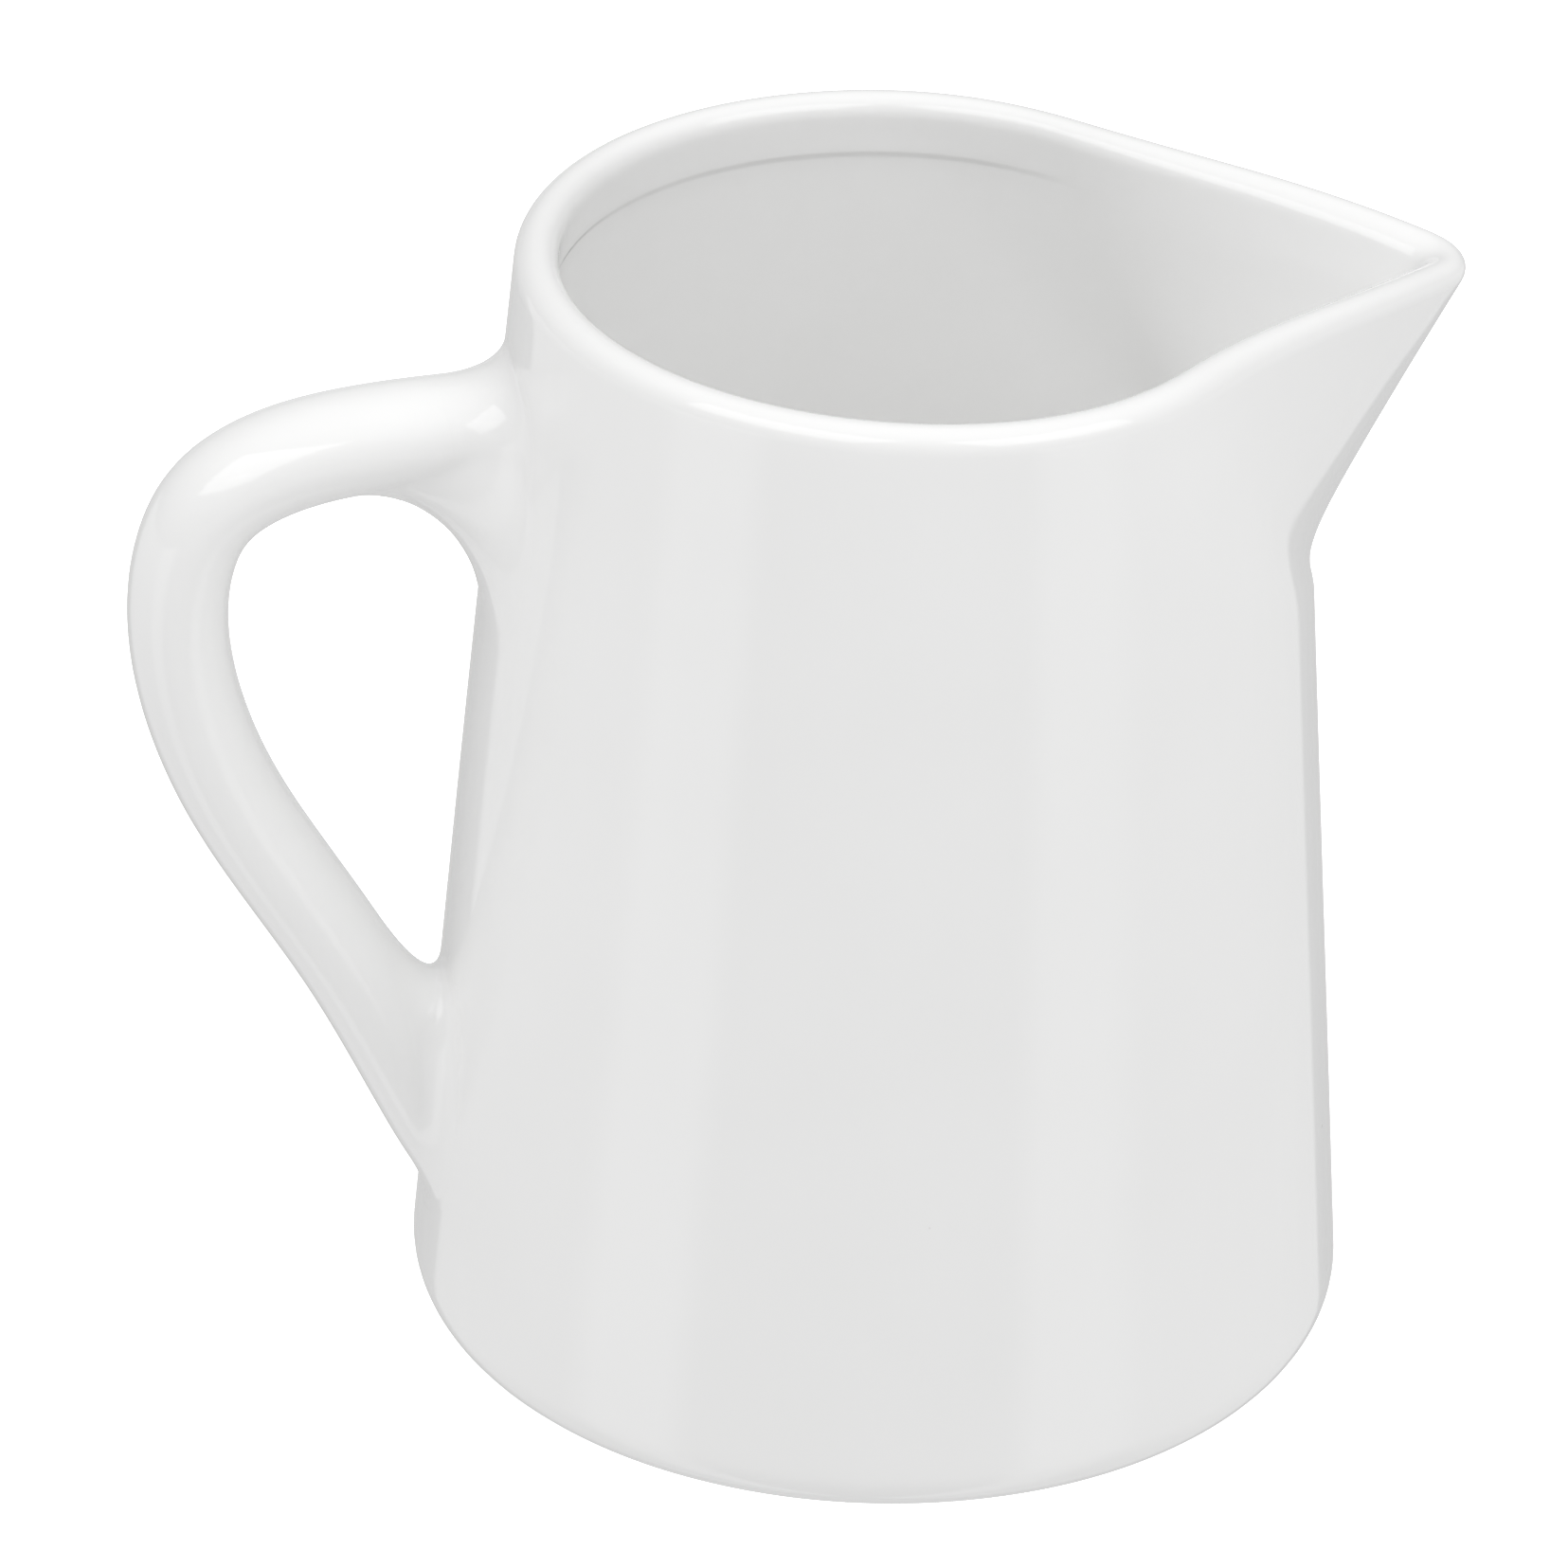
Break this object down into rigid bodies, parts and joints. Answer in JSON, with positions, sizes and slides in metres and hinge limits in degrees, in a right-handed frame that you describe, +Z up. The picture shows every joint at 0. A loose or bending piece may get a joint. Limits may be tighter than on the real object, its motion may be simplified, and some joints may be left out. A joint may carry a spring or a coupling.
{
  "type": "ceramic pitcher",
  "caption": "White glazed ceramic pitcher: a tapering round body with a wide V-shaped pouring spout, a rounded lip and a strap handle.",
  "frame": {"origin": "middle of the flat underside, on the axis of the round body", "axes": "+Z up out of the mouth; +X along the spout, so the handle is on -X; the jug is the same on both sides of the XZ plane"},
  "size_m": [0.1495, 0.1092, 0.131],
  "materials": {
    "white_glaze": "glossy white glaze over the fired clay",
    "bare_clay": "matte, unglazed fired clay on the underside"
  },
  "bodies": {
    "root": {"body_wall": "white_glaze", "base": "bare_clay", "spout": "white_glaze", "lip": "white_glaze", "handle": "white_glaze", "upper_luting": "white_glaze", "lower_luting": "white_glaze"}
  },
  "joints": []
}
